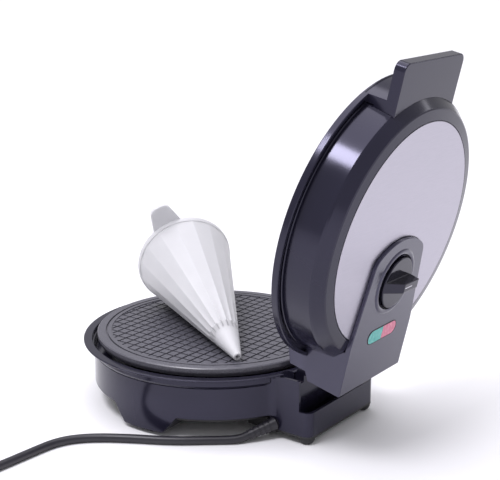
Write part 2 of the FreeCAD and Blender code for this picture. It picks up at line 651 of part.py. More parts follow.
def bezel():
    """Rounded ring that stands up round the knob's cup."""
    z, low = arm_top_z, arm_top_z - 1.0
    inner, middle, outer = V(cup_r - 0.5, 0, z), V((cup_r + dial_r) / 2, 0, z + bezel_h), V(dial_r, 0, z)
    edges = [Part.Arc(inner, middle, outer).toShape(), Part.LineSegment(outer, V(dial_r, 0, low)).toShape(),
             Part.LineSegment(V(dial_r, 0, low), V(cup_r - 0.5, 0, low)).toShape(),
             Part.LineSegment(V(cup_r - 0.5, 0, low), inner).toShape()]
    ring = Part.Face(Part.Wire(edges)).revolve(ORIGIN, Z_AXIS, 360)
    ring.translate(V(0, knob_y, 0))
    return ring


def hinge_pin():
    reach = ear_in + pin_depth
    return Part.makeCylinder(pin_r, 2 * reach, V(-reach, hinge_y, hinge_z), X_AXIS)


def bush(side):
    """Flanged bush in one end of the base's knuckle."""
    x_in = side * (knuckle_half - bush_len)
    outward = V(side, 0, 0)
    tube = Part.makeCylinder(bush_r, bush_len, V(x_in, hinge_y, hinge_z), outward)
    face = Part.makeCylinder(bush_flange_r, bush_flange_t, V(side * knuckle_half, hinge_y, hinge_z), outward)
    bore = Part.makeCylinder(pin_r + run_gap, 4 * ped_half, V(-2 * ped_half, hinge_y, hinge_z), X_AXIS)
    return join([tube, face]).cut(bore)


def top_panel():
    """Stainless disc, cut out round the arm's tongue."""
    disc = cyl(disc_r, top_z - disc_t, top_z)
    return one_solid(disc.cut(arm_plan(top_z - 5, top_z + 5, disc_gap)))


def lens(side):
    body = stadium(lens_half, lens_r, arm_top_z - lens_t, arm_top_z + lens_proud, lens_y)
    rim = edges_where(body, lambda e: min(v.Point.z for v in e.Vertexes) > arm_top_z + lens_proud - 0.01)
    body = body.makeFillet(0.2, rim)
    split = 0.12
    x0, x1 = sorted((side * split, side * 2 * lens_half))
    return one_solid(body.common(box(x0, x1, 0, 2 * lens_y, 0, clear_z)))


def lamp_holder():
    """Carrier under the lenses for the two neon lamps."""
    top = arm_top_z - lens_t
    deck = top_z - disc_t - skin
    body = join([stadium(lens_half + 1.2, lens_r + 1.2, deck - 4.2, deck, lens_y),
                 stadium(lens_half - 0.1, lens_r - 0.1, deck - 1, top, lens_y)])
    lamp_z = top - lamp_drop
    bores = [Part.makeCylinder(lamp_r, 40, V(sx * lamp_x, lens_y - 20, lamp_z), Y_AXIS) for sx in (-1, 1)]
    windows = [box(sx * lamp_x - 5, sx * lamp_x + 5, lens_y - 4, lens_y + 4, lamp_z, top) for sx in (-1, 1)]
    return one_solid(body.cut(bores + windows))


def lamp(side):
    z = arm_top_z - lens_t - lamp_drop
    tube = Part.makeCylinder(lamp_r - 0.05, lamp_len - 5, V(side * lamp_x, lens_y - 5, z), Y_AXIS)
    return join([tube, Part.makeSphere(lamp_r - 0.05, V(side * lamp_x, lens_y - 5, z))])


# ---- thermostat and knob ----
def finger_bar(grow=0.0):
    """Straight bar across the knob with drafted sides and a ramp at its pointer end."""
    z = arm_top_z + knob_rise
    low, high = grip_half_w + grow, grip_half_w - grip_draft + grow
    outline = [V(grip_front, 0, z - 1), V(grip_front, 0, z), V(grip_ramp_top, 0, z + grip_h),
               V(-grip_rear + 0.8, 0, z + grip_h), V(-grip_rear, 0, z), V(-grip_rear, 0, z - 1)]
    slab = Part.Face(Part.makePolygon(outline + outline[:1])).extrude(V(0, 2 * low, 0))
    slab.translate(V(0, -low, 0))
    section = [V(-30, -low, z - 1), V(-30, low, z - 1), V(-30, low, z), V(-30, high, z + grip_h),
               V(-30, -high, z + grip_h), V(-30, -low, z)]
    return slab.common(Part.Face(Part.makePolygon(section + section[:1])).extrude(V(60, 0, 0)))


def knob():
    """Round skirt with a raised finger bar, bored for the shaft."""
    z_low, z_face = cup_floor_z + knob_gap, arm_top_z + knob_rise
    skirt = Part.makeCylinder(knob_r, z_face - z_low, V(0, 0, z_low))
    rim = edges_where(skirt, lambda e: min(v.Point.z for v in e.Vertexes) > z_face - 0.01 and e.Length > 10)
    skirt = skirt.makeFillet(knob_edge, rim)
    bar = finger_bar()
    crown = edges_where(bar, lambda e: e.BoundBox.ZMin > z_face + 0.1)
    bar = bar.makeFillet(grip_edge, crown).common(cyl(knob_r - 0.15, z_low, z_face + 30))
    return join([skirt, bar]).cut([cyl(shaft_r, z_low - 1, z_face + 4), pointer_inlay(5.0)])


def pointer_inlay(height):
    """Light line let into the crown of the bar, towards its pointer end."""
    z = arm_top_z + knob_rise + grip_h
    return box(-grip_rear * 0.4, grip_ramp_top - 1.0, -pointer_w / 2, pointer_w / 2, z - pointer_d,
               z - pointer_d + height)


def place_knob(shape):
    out = shape.copy()
    out.rotate(ORIGIN, Z_AXIS, pointer_angle)
    out.translate(V(0, knob_y, 0))
    return out


def thermostat_shaft():
    z_top = arm_top_z + knob_rise + 4
    z_low = cup_floor_z - cup_base_t - thermo_h - 1
    body = cyl(shaft_r - run_gap, z_low, z_top)
    flat = box(1.9, 5, -5, 5, cup_floor_z + knob_gap + 0.6, z_top + 1)
    return body.cut(flat)


# ---- handle ----
def thermostat_body():
    """Round thermostat under the knob's cup, with two fixing lugs."""
    top = cup_floor_z - cup_base_t
    lugs = box(-thermo_r - 5, thermo_r + 5, knob_y - 3, knob_y + 3, top - thermo_h, top - 6)
    body = join([cyl(thermo_r, top - thermo_h, top, 0, knob_y), lugs])
    return body.cut(cyl(shaft_r + 0.2, top - 2 * thermo_h, clear_z, 0, knob_y))


def handle():
    """Flat finger tab on a curved block that seats on the lid's wall."""
    inner_y = -lid_wall_foot_r * 0.8
    tab = box(-handle_half, handle_half, handle_out_y, inner_y, handle_top_z - handle_t, handle_top_z)
    corners = edges_where(tab, lambda e: upright(e) and e.Vertexes[0].Point.y < handle_out_y + 1)
    tab = tab.makeFillet(handle_corner_r, corners)
    z_low = plate_top_z + lid_mate + lid_ring_t + 0.1
    block = box(-handle_half, handle_half, -handle_block_r - 1, inner_y, z_low, handle_top_z - handle_t + 1)
    block = block.common(cyl(handle_block_r, 0, clear_z))
    body = join([tab, block])
    near_user = handle_out_y + 20
    rim = edges_where(body, lambda e: e.BoundBox.ZMin > handle_top_z - 0.01 and e.BoundBox.YMin < near_user)
    body = body.makeFillet(0.7, rim)
    body = body.cut([lid_envelope(handle_fit), cyl(lid_wall_foot_r + handle_fit, 0, shoulder_z - 15)])
    body = body.cut(cyl(bevel_r + 6, plate_top_z + 7, clear_z))
    return one_solid(body.cut([handle_screw(side, 0.3) for side in (-1, 1)]))


def handle_screw(side, extra=0.0):
    """Screw from inside the lid's wall into the handle block."""
    inner = math.sqrt((lid_wall_r - wall - 2.0) ** 2 - (handle_screw_x + screw_head_r) ** 2)
    seat = V(side * handle_screw_x, -inner, handle_screw_z)
    shank = Part.makeCylinder(screw_r, handle_screw_len + extra, seat, V(0, -1, 0))
    head = Part.makeCylinder(screw_head_r, screw_head_h, seat, Y_AXIS)
    return join([shank, head])


# ---- cone roller ----
def place_roller(shape):
    """Lay the roller on the plate: tip at the rear right, wide end over the front left."""
    out = shape.copy()
    half = math.radians(roller_half_deg)
    out.rotate(ORIGIN, Y_AXIS, -roller_half_deg)
    out.rotate(ORIGIN, Z_AXIS, roller_heading)
    x, y = roller_tip_xy
    out.translate(V(x, y, plate_top_z + roller_lift + roller_tip_r * math.cos(half)))
    return out


def roller_radius(s):
    return roller_tip_r + s * math.tan(math.radians(roller_half_deg))


def ring_wire(s, radius):
    return Part.Wire(Part.Circle(V(s, 0, 0), X_AXIS, radius).toShape())


def flute_depth(s):
    return flute_deep + (flute_shallow - flute_deep) * (s - sleeve_to) / (roller_len - sleeve_to)


def fluted_wire(s, radius):
    """Fluted section: sharp ridges with a shallow round hollow between each pair."""
    points = []
    for i in range(2 * roller_flutes + 1):
        a = math.pi * (i + 0.5) / roller_flutes
        r = radius - (flute_depth(s) if i % 2 else 0.0)
        points.append(V(s, r * math.cos(a), r * math.sin(a)))
    hollows = [Part.Arc(*points[i:i + 3]).toShape() for i in range(0, 2 * roller_flutes, 2)]
    return Part.Wire(hollows)


def fluted_length(start, end):
    sections = [fluted_wire(s, roller_radius(s)) for s in (start, end)]
    return Part.makeLoft(sections, True, True)


def roller_cone():
    start, end = sleeve_to - sleeve_lap, roller_len - cap_t
    closed_to = start + roller_closed
    hollow = Part.makeCone(roller_radius(closed_to) - flute_depth(closed_to) - roller_wall,
                           roller_radius(end) - flute_depth(end) - roller_wall, end - closed_to,
                           V(closed_to, 0, 0), X_AXIS)
    return one_solid(fluted_length(start, end).cut(hollow))


def roller_sleeve():
    """Smooth hollow nose over the end of the fluted cone."""
    nose = Part.makeCone(roller_radius(0), roller_radius(sleeve_to), sleeve_to, ORIGIN, X_AXIS)
    socket = fluted_length(sleeve_to - sleeve_lap, sleeve_to + sleeve_lap)
    bore = Part.makeCylinder(nose_bore_r, nose_bore_deep + 1, V(-1, 0, 0), X_AXIS)
    return one_solid(nose.cut([socket, bore]))


def roller_cap():
    """Rounded end with the finger tab that stands up from its rim."""
    s0 = roller_len - cap_t
    s_tab = roller_len - tab_t
    r = roller_radius(roller_len)
    disc = Part.makeCone(roller_radius(s0), r, cap_t, V(s0, 0, 0), X_AXIS)
    rim = edges_where(disc, lambda e: e.BoundBox.XMin > roller_len - 0.01 and e.Length > 50)
    disc = disc.makeFillet(cap_edge, rim)
    hollow_r = roller_radius(s0) - roller_wall - 2.0
    hollow = Part.makeCylinder(hollow_r, cap_t - roller_wall, V(s0, 0, 0), X_AXIS)
    root, tip = r - 6, r + tab_len
    outline = [V(s_tab, -tab_base_half, root), V(s_tab, tab_base_half, root), V(s_tab, tab_tip_half, tip),
               V(s_tab, -tab_tip_half, tip)]
    tab = Part.Face(Part.makePolygon(outline + outline[:1])).extrude(V(tab_t, 0, 0))
    tips = edges_where(tab, lambda e: e.BoundBox.ZMin > tip - 0.01 and e.BoundBox.XLength > 1)
    tab = tab.makeFillet(tab_corner_r, tips)
    tab.rotate(ORIGIN, X_AXIS, tab_deg - 90)
    return join([disc.cut(hollow), tab])


# ---- mains lead ----
def rounded_path(points):
    """Straight runs joined by tangent arcs as large as the runs allow; returns wire, length, radii."""
    pts = [V(*p) for p in points]
    edges, radii, total = [], [], 0.0
    last = pts[0]
    for i in range(1, len(pts) - 1):
        before, after = pts[i - 1] - pts[i], pts[i + 1] - pts[i]
        run = min(before.Length, after.Length)
        turn = math.pi - before.getAngle(after)
        radius = 0.45 * run / math.tan(turn / 2)
        cut = 0.45 * run
        u, w = V(before).normalize(), V(after).normalize()
        p, q = pts[i] + u * cut, pts[i] + w * cut
        mid_dir = (u + w).normalize()
        middle = pts[i] + mid_dir * (radius / math.cos(turn / 2) - radius)
        edges.append(Part.LineSegment(last, p).toShape())
        edges.append(Part.Arc(p, middle, q).toShape())
        radii.append(round(radius, 1))
        total += (p - last).Length + radius * turn
        last = q
    edges.append(Part.LineSegment(last, pts[-1]).toShape())
    total += (pts[-1] - last).Length
    return Part.Wire(edges), total, radii


def cord_tube(points, name):
    path, length, radii = rounded_path(points)
    start, along = V(*points[0]), V(*points[1]) - V(*points[0])
    ring = Part.Wire(Part.Circle(start, along, cord_d / 2).toShape())
    tube = path.makePipeShell([ring], True, False)
    ideal = math.pi * cord_d ** 2 / 4 * length
    print(name, "length", round(length, 1), "volume ratio", round(tube.Volume / ideal, 4), "radii", radii)
    return tube, length


def strain_relief():
    """Tapered ribbed boot where the lead leaves the pedestal."""
    along = V(relief_dir).normalize()
    start = V(*cord_exit)
    boot = Part.makeCone(relief_root_r, relief_end_r, relief_len, start, along)
    grooves = []
    for i in range(4):
        s = 5.0 + i * 4.2
        r = relief_root_r + (relief_end_r - relief_root_r) * s / relief_len
        outer = Part.makeCylinder(r + 2, 1.2, start + along * s, along)
        inner = Part.makeCylinder(r - 0.55, 1.2, start + along * s, along)
        grooves.append(outer.cut(inner))
    boot = boot.cut(grooves)
    x, y, z = cord_exit
    neck = Part.makeCylinder(stub_r, wall + 1.5, V(x - wall - 1.0, y, z), X_AXIS)
    collar = Part.makeCylinder(stub_r + 1.0, 1.0, V(x - wall - 1.0, y, z), X_AXIS)
    behind = box(x - 10, x, y - 12, y + 12, z - 12, z + 12)
    return one_solid(join([boot.cut(behind), neck, collar]))


def coil():
    """Outer shape of the bundled turns, notched for its tie."""
    cx, cy = coil_centre
    half = cord_d / 2
    height = cord_d + coil_rise + 0.3
    ring = cyl(coil_outer_r + half, table_z, table_z + height, cx, cy)
    ring = ring.cut(cyl(coil_inner_r - half, table_z - 1, table_z + height + 1, cx, cy))
    upper = edges_where(ring, lambda e: e.BoundBox.ZMin > table_z + height - 0.01 and e.Length > 50)
    return ring.makeFillet(2.4, upper).cut(coil_tie())


def coil_tie():
    """Reusable tie wrapped round the bundle."""
    half = cord_d / 2
    height = cord_d + coil_rise + 0.3
    r_out, r_in = coil_outer_r + half + tie_t, coil_inner_r - half - tie_t
    whole = cyl(r_out, 0, height + tie_t).cut(cyl(r_in, -1, height + 5))
    hollow = cyl(r_out - tie_t, tie_t * 0.6, height).cut(cyl(r_in + tie_t, -1, height + 5))
    band = whole.cut(hollow).common(box(0, 2 * r_out, -tie_w / 2, tie_w / 2, 0, 40))
    band.rotate(ORIGIN, Z_AXIS, tie_deg)
    band.translate(V(*coil_centre, table_z))
    return one_solid(band)


def plug():
    """Plug body lying on the table beside the coil, with its grip waist and cord boot."""
    end = V(*cord_tail[-1])
    before = V(*cord_tail[-2])
    heading = math.degrees(math.atan2(end.y - before.y, end.x - before.x))
    boot = Part.makeCone(cord_d / 2 + 0.6, 5.6, 16, V(0, 0, plug_h / 2), X_AXIS)
    body = box(14, 14 + plug_len, -plug_w / 2, plug_w / 2, 0, plug_h)
    body = body.makeFillet(4.0, [e for e in body.Edges if e.BoundBox.XLength > 10])
    body = body.makeChamfer(2.5, [e for e in body.Edges if e.BoundBox.XMax < 14.01 and e.Length > 3])
    waist_x, waist_y = 14 + plug_len * 0.45, plug_w / 2 + 13.6
    waist = [Part.makeCylinder(16, 40, V(waist_x, sy * waist_y, -10)) for sy in (-1, 1)]
    face_x, middle_z = 14 + plug_len, plug_h / 2
    blades = []
    for sy in (-1, 1):
        blade_y = sy * blade_gap / 2
        blade = box(face_x - 6, face_x + blade_len, blade_y - blade_t / 2, blade_y + blade_t / 2,
                    middle_z - blade_w / 2, middle_z + blade_w / 2)
        hole = Part.makeCylinder(1.6, 20, V(face_x + blade_len - 5, -10, middle_z), Y_AXIS)
        blades.append(blade.cut(hole))
    placed = []
    for shape in (join([body.cut(waist), boot]).cut(blades), Part.makeCompound(blades)):
        shape.rotate(ORIGIN, Z_AXIS, heading)
        shape.translate(V(end.x, end.y, table_z))
        placed.append(shape)
    return placed


# ---- assemble ----
def lid_piece(name, shape):
    nodes[name] = swing_open(shape)


def at_bosses(ring, angles, z_seat, z_tip):
    """One screw at each boss of a ring."""
    return Part.makeCompound([screw(*polar(ring, a), z_seat, z_tip) for a in angles])


plate = cooking_plate()
plate_back_z = plate_top_z - plate_thick
nodes["lower_plate"] = plate
nodes["base_shell"] = base_shell()
nodes["base_cover"] = base_cover()
nodes["lower_heating_element"] = heater(plate_back_z)
nodes["lower_heat_reflector"] = reflector(shelf_z, reflector_r, boss_r + 0.3)
nodes["lower_plate_screws"] = at_bosses(plate_boss_ring, plate_boss_deg, shelf_z - shelf_t, plate_back_z + 3)
nodes["base_cover_screws"] = at_bosses(base_post_ring, base_post_deg, arch_z - cover_t, arch_z + 12)
for name, place in zip(("rear_foot_right", "rear_foot_left"), rear_foot_places()):
    nodes[name] = rubber_foot(*place, rear_foot_r, ped_bottom_z, tray_t)
for name, angle in zip(("foot_pad_right", "foot_pad_left", "foot_pad_front"), foot_angles):
    nodes[name] = rubber_foot(*polar(pad_ring, angle), pad_r, 0, wall)
nodes["hinge_bush_right"] = bush(1)
nodes["hinge_bush_left"] = bush(-1)

# electrical parts in the pedestal
tray_top_z = ped_bottom_z + tray_t
terminal_mid_y = terminal_y + terminal_deep / 2
terminal_x = [terminal_pitch * i for i in (-1, 0, 1)]
terminal_rear_y = terminal_y + terminal_deep
terminal = [box(-terminal_half, terminal_half, terminal_y, terminal_rear_y, tray_top_z, terminal_top_z)]
for x in terminal_x:
    terminal.append(box(x - 4, x + 4, terminal_mid_y - 4, terminal_mid_y + 4,
                        terminal_top_z - 1, terminal_top_z + 4))
terminal_low = terminal_top_z - 3
terminal_holes = [cyl(terminal_screw_r, terminal_low, clear_z, x, terminal_mid_y) for x in terminal_x]
nodes["terminal_block"] = join(terminal).cut(terminal_holes)
slot_z = terminal_top_z + 2.2
slots = [box(x - 3, x + 3, terminal_mid_y - 0.4, terminal_mid_y + 0.4, slot_z, slot_z + 2) for x in terminal_x]
nodes["terminal_screws"] = Part.makeCompound([
    cyl(terminal_screw_r, terminal_low, slot_z + 0.8, x, terminal_mid_y).cut(slots) for x in terminal_x])
exit_y, exit_z = cord_exit[1], cord_exit[2]
clamp = box(*clamp_x, exit_y - clamp_half, exit_y + clamp_half, tray_top_z, exit_z + 5)
nodes["cord_clamp"] = clamp.cut(Part.makeCylinder(cord_d / 2, ped_half, V(0, exit_y, exit_z), X_AXIS))
nodes["cord_inner_end"] = Part.makeCylinder(cord_d / 2, ped_half - wall - inner_cord_gap - terminal_half,
                                            V(terminal_half, exit_y, exit_z), X_AXIS)
fuse_z = shelf_z - fuse_drop
nodes["thermal_fuse"] = join([Part.makeCylinder(r, length, V(-length / 2, fuse_y, fuse_z), X_AXIS)
                              for r, length in ((fuse_r, fuse_len), (fuse_lead_r, fuse_lead_len))])

# lid
lid_piece("lid_ring", lid_ring())
lid_piece("lid_shell", lid_shell())
lid_piece("stainless_top_panel", top_panel())
lid_piece("hinge_arm", hinge_arm())
lid_piece("handle", handle())
lid_piece("upper_plate", plate.mirror(V(0, 0, plate_top_z + plate_gap / 2), Z_AXIS))
upper_heater = heater(0).mirror(ORIGIN, Z_AXIS)
upper_heater.translate(V(0, 0, upper_back_z))
lid_piece("upper_heating_element", upper_heater)
upper_reflector = reflector(0, upper_pan_r, screw_r + 0.2).mirror(ORIGIN, Z_AXIS)
upper_reflector.translate(V(0, 0, upper_pan_z + reflector_t))
lid_piece("upper_heat_reflector", upper_reflector)
lid_piece("upper_plate_screws",
          at_bosses(plate_boss_ring, plate_boss_deg, upper_pan_z + reflector_t, upper_back_z - 3.2))
lid_piece("lens_green", lens(1))
lid_piece("lens_red", lens(-1))
lid_piece("lamp_holder", lamp_holder())
lid_piece("lamp_green", lamp(1))
lid_piece("lamp_red", lamp(-1))
lid_piece("thermostat_body", thermostat_body())
lid_piece("handle_screws", Part.makeCompound([handle_screw(side) for side in (-1, 1)]))
lid_piece("arm_screws", Part.makeCompound([screw(x, y, top_z - disc_t - skin, arm_top_z - 1.4)
                                           for x, y in arm_screw_places]))
lid_piece("hinge_pin", hinge_pin())

# knob
lid_piece("control_knob", place_knob(knob()))
lid_piece("knob_pointer", place_knob(pointer_inlay(pointer_d - 0.05)))
lid_piece("thermostat_shaft", place_knob(thermostat_shaft()))

# roller
nodes["roller_cone"] = place_roller(roller_cone())
nodes["roller_nose"] = place_roller(roller_sleeve())
nodes["roller_cap"] = place_roller(roller_cap())

# mains lead
relief_end = V(*cord_exit) + V(relief_dir).normalize() * relief_len
lead_points = [tuple(relief_end)] + [(x, y, cord_z) for x, y in cord_run]
nodes["cord_strain_relief"] = strain_relief()
nodes["power_cord"], lead_length = cord_tube(lead_points, "power_cord")
nodes["cord_coil"] = coil()
nodes["cord_tie"] = coil_tie()
nodes["cord_tail"], tail_length = cord_tube(cord_tail, "cord_tail")
nodes["plug_body"], nodes["plug_blades"] = plug()

cord_nodes = ("power_cord", "cord_coil", "cord_tie", "cord_tail", "plug_body", "plug_blades",
              "cord_strain_relief")
solid_box = FreeCAD.BoundBox()
for name, shape in nodes.items():
    if name not in cord_nodes:
        solid_box.add(shape.BoundBox)
shift = V(-(solid_box.XMin + solid_box.XMax) / 2, -(solid_box.YMin + solid_box.YMax) / 2, -solid_box.ZMin)
print("shift", tuple(round(v, 4) for v in shift))
print("hinge axis y, z", round(hinge_y + shift.y, 4), round(hinge_z + shift.z, 4))

os.makedirs("parts", exist_ok=True)
for name, shape in nodes.items():
    moved = shape.copy()
    moved.translate(shift)
    moved.exportStep("parts/" + name + ".step")
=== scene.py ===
import math

import bpy
from mathutils import Matrix, Vector


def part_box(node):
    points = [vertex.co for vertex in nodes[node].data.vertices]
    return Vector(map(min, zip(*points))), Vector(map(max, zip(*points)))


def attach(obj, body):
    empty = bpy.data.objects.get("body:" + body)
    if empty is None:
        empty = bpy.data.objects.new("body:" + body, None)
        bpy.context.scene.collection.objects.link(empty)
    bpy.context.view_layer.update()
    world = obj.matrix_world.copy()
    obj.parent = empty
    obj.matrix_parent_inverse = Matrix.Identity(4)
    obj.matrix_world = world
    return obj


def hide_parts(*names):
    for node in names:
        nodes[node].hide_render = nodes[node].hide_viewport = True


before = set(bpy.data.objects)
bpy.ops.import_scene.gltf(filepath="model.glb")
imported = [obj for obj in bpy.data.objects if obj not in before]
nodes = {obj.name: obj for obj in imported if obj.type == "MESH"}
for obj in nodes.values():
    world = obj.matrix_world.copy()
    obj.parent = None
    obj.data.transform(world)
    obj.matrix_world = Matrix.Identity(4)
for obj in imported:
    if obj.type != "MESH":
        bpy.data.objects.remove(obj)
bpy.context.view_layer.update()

MM = 0.001

# ---- the design axes of the model: millimetres from the point under the plates' centre ----
PLATE_TOP = 52.7
TABLE = -3.6  # height of the table here; TABLE_Z is the same height in the row frame
HINGE_Y, HINGE_Z, OPEN_ANGLE = 110.3, 55.6, 103.1
plate_low, plate_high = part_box("lower_plate")
ORIGIN = Vector(((plate_low.x + plate_high.x) / 2, (plate_low.y + plate_high.y) / 2,
                 plate_high.z - PLATE_TOP * MM))
TABLE_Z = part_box("rear_foot_right")[0].z


def at(x, y, z):
    """Row-frame point of a design point in millimetres."""
    return ORIGIN + Vector((x, y, z)) * MM


def on_lid(x, y, z):
    """Row-frame point of a design point on the closed lid, after the lid is opened."""
    pivot = at(0, HINGE_Y, HINGE_Z)
    turn = Matrix.Rotation(-math.radians(OPEN_ANGLE), 3, "X")
    return pivot + turn @ (at(x, y, z) - pivot)


def direction(azimuth, elevation):
    """Unit vector towards a bearing: azimuth 0 is the front (-Y) and 90 is the right side (+X)."""
    a, e = math.radians(azimuth), math.radians(elevation)
    return Vector((math.sin(a) * math.cos(e), -math.cos(a) * math.cos(e), math.sin(e)))


def add_object(name, data):
    """New object in the scene's own collection."""
    obj = bpy.data.objects.new(name, data)
    bpy.context.scene.collection.objects.link(obj)
    return obj


# ---- camera ----
AZIMUTH, ELEVATION, DISTANCE = 126.469, 15.165, 0.9617
FOCAL_LENGTH, SENSOR_WIDTH = 84.43, 36.0
AIM = at(-41.4, 3.3, 115.8)
back = direction(AZIMUTH, ELEVATION)
right = Vector((math.cos(math.radians(AZIMUTH)), math.sin(math.radians(AZIMUTH)), 0))
camera_data = bpy.data.cameras.new("camera")
camera_data.sensor_width = SENSOR_WIDTH
camera_data.lens = FOCAL_LENGTH
camera_data.clip_start = 0.05
camera_data.clip_end = 40.0
camera = add_object("camera", camera_data)
pose = Matrix((right, back.cross(right), back)).transposed().to_4x4()
pose.translation = AIM + back * DISTANCE
camera.matrix_world = pose
bpy.context.scene.camera = camera


# ---- materials ----
def new_material(name):
    """New node material: returns it with its node tree and its Principled shader."""
    material = bpy.data.materials.new(name)
    material.use_nodes = True
    tree = material.node_tree
    return material, tree, tree.nodes["Principled BSDF"]


def noise(tree, scale, detail=4.0, stretch=(1, 1, 1)):
    """Noise texture in the piece's own coordinates."""
    source = tree.nodes.new("ShaderNodeTexCoord")
    mapping = tree.nodes.new("ShaderNodeMapping")
    mapping.inputs["Scale"].default_value = stretch
    tree.links.new(source.outputs["Object"], mapping.inputs["Vector"])
    texture = tree.nodes.new("ShaderNodeTexNoise")
    texture.inputs["Scale"].default_value = scale
    texture.inputs["Detail"].default_value = detail
    tree.links.new(mapping.outputs["Vector"], texture.inputs["Vector"])
    return texture


def ramp(tree, source, stops):
    """Colour ramp from a noise's value; stops are (position, colour) pairs."""
    node = tree.nodes.new("ShaderNodeValToRGB")
    while len(node.color_ramp.elements) < len(stops):
        node.color_ramp.elements.new(0.5)
    for element, (position, colour) in zip(node.color_ramp.elements, stops):
        element.position = position
        element.color = (*colour, 1.0)
    tree.links.new(source, node.inputs["Fac"])
    return node


def spread(tree, source, low, high):
    """Maps a 0 to 1 value onto low to high."""
    node = tree.nodes.new("ShaderNodeMapRange")
    node.inputs["To Min"].default_value = low
    node.inputs["To Max"].default_value = high
    tree.links.new(source, node.inputs["Value"])
    return node.outputs["Result"]


def bump(tree, shader, source, strength, distance, soft_edge=0.0):
    """Bump from a noise's value, over a bevel of soft_edge metres where one is given."""
    node = tree.nodes.new("ShaderNodeBump")
    node.inputs["Strength"].default_value = strength
    node.inputs["Distance"].default_value = distance
    tree.links.new(source, node.inputs["Height"])
    if soft_edge:
        bevel = tree.nodes.new("ShaderNodeBevel")
        bevel.samples = 6
        bevel.inputs["Radius"].default_value = soft_edge
        tree.links.new(bevel.outputs["Normal"], node.inputs["Normal"])
    tree.links.new(node.outputs["Normal"], shader.inputs["Normal"])


def plastic(name, dark, light, rough, grain=900.0, strength=0.04, edge=0.0005, coat=0.0, tint=(1, 1, 1)):
    """Moulded plastic: faint colour drift, uneven gloss, fine grain and softened edges."""
    material, tree, shader = new_material(name)
    drift = noise(tree, 14.0)
    colour = ramp(tree, drift.outputs["Fac"], [(0.3, dark), (0.7, light)])
    tree.links.new(colour.outputs["Color"], shader.inputs["Base Color"])
    smudge = noise(tree, 60.0, 6.0)
    gloss = spread(tree, smudge.outputs["Fac"], rough * 0.8, rough * 1.25)
    tree.links.new(gloss, shader.inputs["Roughness"])
    shader.inputs["IOR"].default_value = 1.5
    shader.inputs["Specular Tint"].default_value = (*tint, 1.0)
    shader.inputs["Coat Weight"].default_value = coat
    shader.inputs["Coat Roughness"].default_value = 0.06
    bump(tree, shader, noise(tree, grain, 3.0).outputs["Fac"], strength, 0.0002, edge)
    return material


def metal(name, dark, light, rough, stretch, grain=500.0, strength=0.05, edge=0.0003):
    """Metal with brushed or cast streaks along one direction."""
    material, tree, shader = new_material(name)
    streak = noise(tree, grain, 5.0, stretch=stretch)
    colour = ramp(tree, streak.outputs["Fac"], [(0.35, dark), (0.65, light)])
    tree.links.new(colour.outputs["Color"], shader.inputs["Base Color"])
    gloss = spread(tree, streak.outputs["Fac"], rough * 0.85, rough * 1.2)
    tree.links.new(gloss, shader.inputs["Roughness"])
    shader.inputs["Metallic"].default_value = 1.0
    bump(tree, shader, streak.outputs["Fac"], strength, 0.0001, edge)
    return material


VIOLET = (0.78, 0.76, 1.0)
shell_black = plastic("shell_black", (0.010, 0.0095, 0.018), (0.014, 0.013, 0.025), 0.15, strength=0.02,
                      tint=VIOLET)
arm_black = plastic("arm_black", (0.034, 0.032, 0.056), (0.042, 0.040, 0.068), 0.2, strength=0.02,
                    coat=0.3, tint=VIOLET)
knob_black = plastic("knob_black", (0.007, 0.0065, 0.011), (0.01, 0.0095, 0.016), 0.08, strength=0.01,
                     edge=0.0007, tint=VIOLET)
inner_black = plastic("inner_black", (0.01, 0.01, 0.012), (0.018, 0.018, 0.02), 0.5, strength=0.05)
rubber = plastic("rubber", (0.012, 0.012, 0.014), (0.022, 0.022, 0.025), 0.62, grain=500.0,
                 strength=0.12)
cord_black = plastic("cord_black", (0.014, 0.013, 0.018), (0.022, 0.021, 0.028), 0.36, grain=700.0,
                     strength=0.05, edge=0.0)
tie_grey = plastic("tie_grey", (0.1, 0.1, 0.11), (0.15, 0.15, 0.16), 0.6, grain=800.0, strength=0.2)
nylon = plastic("nylon", (0.62, 0.6, 0.55), (0.7, 0.68, 0.63), 0.45)
mark_white = plastic("mark_white", (0.55, 0.54, 0.6), (0.62, 0.61, 0.67), 0.4, edge=0.0)
stainless = metal("stainless", (0.41, 0.395, 0.455), (0.46, 0.44, 0.505), 0.33, (1, 60, 60), 90.0, 0.03)
bright_steel = metal("bright_steel", (0.5, 0.5, 0.52), (0.62, 0.62, 0.64), 0.28, (1, 12, 12))
element_steel = metal("element_steel", (0.12, 0.11, 0.1), (0.2, 0.18, 0.16), 0.45, (1, 1, 1), 120.0, 0.2)
aluminium = metal("aluminium", (0.7, 0.7, 0.71), (0.8, 0.8, 0.81), 0.35, (1, 20, 1))
brass = metal("brass", (0.62, 0.46, 0.18), (0.72, 0.55, 0.25), 0.3, (1, 10, 10))


def non_stick():
    """Dark coating with fine speckle and a satin sheen."""
    material, tree, shader = new_material("non_stick")
    speckle = noise(tree, 1400.0, 2.0)
    colour = ramp(tree, speckle.outputs["Fac"],
                  [(0.4, (0.062, 0.061, 0.077)), (0.72, (0.13, 0.127, 0.153))])
    tree.links.new(colour.outputs["Color"], shader.inputs["Base Color"])
    sheen = spread(tree, noise(tree, 90.0, 6.0).outputs["Fac"], 0.3, 0.42)
    tree.links.new(sheen, shader.inputs["Roughness"])
    shader.inputs["Specular IOR Level"].default_value = 0.8
    bump(tree, shader, speckle.outputs["Fac"], 0.06, 0.0002, 0.0004)
    return material


